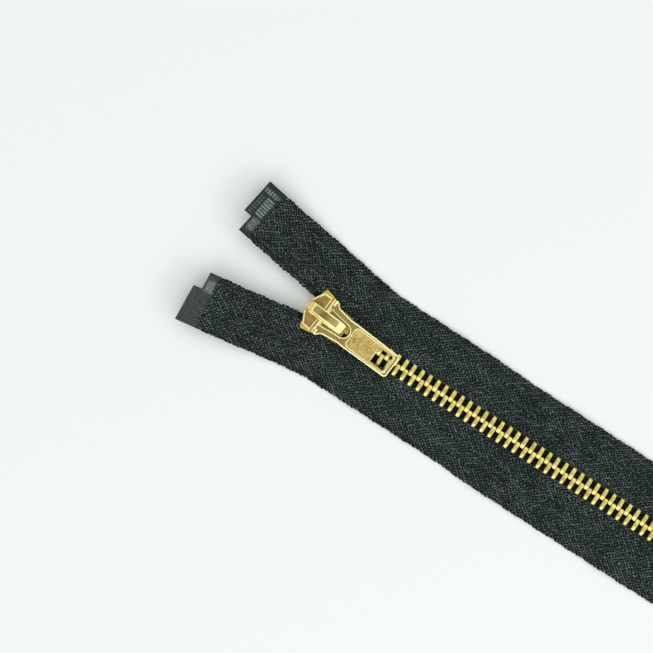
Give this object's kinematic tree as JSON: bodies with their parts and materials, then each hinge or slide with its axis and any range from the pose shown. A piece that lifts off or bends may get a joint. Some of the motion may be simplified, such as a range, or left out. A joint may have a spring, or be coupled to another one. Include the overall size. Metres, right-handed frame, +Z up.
{
  "type": "zipper",
  "caption": "Closed-end brass zipper on woven black tapes, with an automatic locking slider and a flat puller with a window.",
  "frame": {"origin": "on the surface the zipper lies on, under the slider's lower blade, on the chain's centre line, at the middle of the closed slider", "axes": "+X along the chain towards the closed bottom end, +Y towards the right-hand tape of a wearer's front view, +Z up from the surface"},
  "size_m": [0.2267, 0.0443, 0.0082],
  "materials": {
    "tape": "herringbone woven polyester",
    "bead_cord": "twisted cord in a woven edge",
    "element_brass": "stamped and brushed",
    "stop_brass": "stamped",
    "slider_brass": "polished",
    "puller_brass": "polished rim, sand-blasted panel",
    "spring_steel": "cold-rolled spring strip"
  },
  "bodies": {
    "bottom_end": {"bottom_stop": "stop_brass", "right_tape_bottom": "tape", "left_tape_bottom": "tape", "right_bead_cord_bottom": "bead_cord", "left_bead_cord_bottom": "bead_cord", "right_elements_bottom": "element_brass", "left_elements_bottom": "element_brass"},
    "right_chain": {"right_tape": "tape", "right_bead_cord": "bead_cord", "right_elements": "element_brass", "right_top_stop": "stop_brass"},
    "left_chain": {"left_tape": "tape", "left_bead_cord": "bead_cord", "left_elements": "element_brass", "left_top_stop": "stop_brass"},
    "right_leaf": {"right_tape_top": "tape", "right_bead_cord_top": "bead_cord"},
    "left_leaf": {"left_tape_top": "tape", "left_bead_cord_top": "bead_cord"},
    "slider": {"slider_body": "slider_brass", "slider_cap": "slider_brass"},
    "lock": {"locking_spring": "spring_steel"},
    "puller": {"puller": "puller_brass"}
  },
  "joints": [
    {"name": "slider_travel", "type": "slide", "parent": "bottom_end", "child": "slider", "axis": [1, 0, 0], "range_m": [0, 0.16256], "deforming": ["right_tape", "right_tape_top", "right_tape_bottom", "right_bead_cord", "right_bead_cord_top", "right_bead_cord_bottom", "right_elements", "right_elements_bottom", "right_top_stop", "left_tape", "left_tape_top", "left_tape_bottom", "left_bead_cord", "left_bead_cord_top", "left_bead_cord_bottom", "left_elements", "left_elements_bottom", "left_top_stop"]},
    {"name": "right_chain_parting", "type": "hinge", "parent": "bottom_end", "child": "right_chain", "pos_m": [0.16196, 0, 0.0025], "axis": [0, 0, -1], "range_deg": [0, 13], "deforming": ["right_tape", "right_tape_top", "right_tape_bottom", "right_bead_cord", "right_bead_cord_top", "right_bead_cord_bottom", "right_elements", "right_elements_bottom", "right_top_stop", "left_tape", "left_tape_top", "left_tape_bottom", "left_bead_cord", "left_bead_cord_top", "left_bead_cord_bottom", "left_elements", "left_elements_bottom", "left_top_stop"]},
    {"name": "left_chain_parting", "type": "hinge", "parent": "bottom_end", "child": "left_chain", "pos_m": [0.16196, 0, 0.0025], "axis": [0, 0, 1], "range_deg": [0, 13], "deforming": ["right_tape", "right_tape_top", "right_tape_bottom", "right_bead_cord", "right_bead_cord_top", "right_bead_cord_bottom", "right_elements", "right_elements_bottom", "right_top_stop", "left_tape", "left_tape_top", "left_tape_bottom", "left_bead_cord", "left_bead_cord_top", "left_bead_cord_bottom", "left_elements", "left_elements_bottom", "left_top_stop"]},
    {"name": "right_end_spread", "type": "hinge", "parent": "right_chain", "child": "right_leaf", "pos_m": [-0.0072, 0.003, 0.0025], "axis": [0, 0, -1], "range_deg": [-9, 25], "deforming": ["right_tape", "right_tape_top", "right_bead_cord", "right_bead_cord_top"]},
    {"name": "left_end_spread", "type": "hinge", "parent": "left_chain", "child": "left_leaf", "pos_m": [-0.0072, -0.003, 0.0025], "axis": [0, 0, 1], "range_deg": [-8.5, 25], "deforming": ["left_tape", "left_tape_top", "left_bead_cord", "left_bead_cord_top"]},
    {"name": "puller_swing", "type": "hinge", "parent": "slider", "child": "puller", "pos_m": [-0.00078, 0.00043, 0.00585], "axis": [-0.0698, -0.9976, 0], "range_deg": [0, 175]},
    {"name": "lock_lift", "type": "hinge", "parent": "slider", "child": "lock", "pos_m": [-0.00497, 0.00073, 0.00668], "axis": [-0.0698, -0.9976, 0], "range_deg": [0, 6.3]}
  ],
  "couplings": [
    {"joint": "right_chain_parting", "follows": "slider_travel", "rad_per_m": 1.3957},
    {"joint": "left_chain_parting", "follows": "slider_travel", "rad_per_m": 1.3957},
    {"joint": "lock_lift", "follows": "puller_swing", "ratio": 0.036}
  ]
}
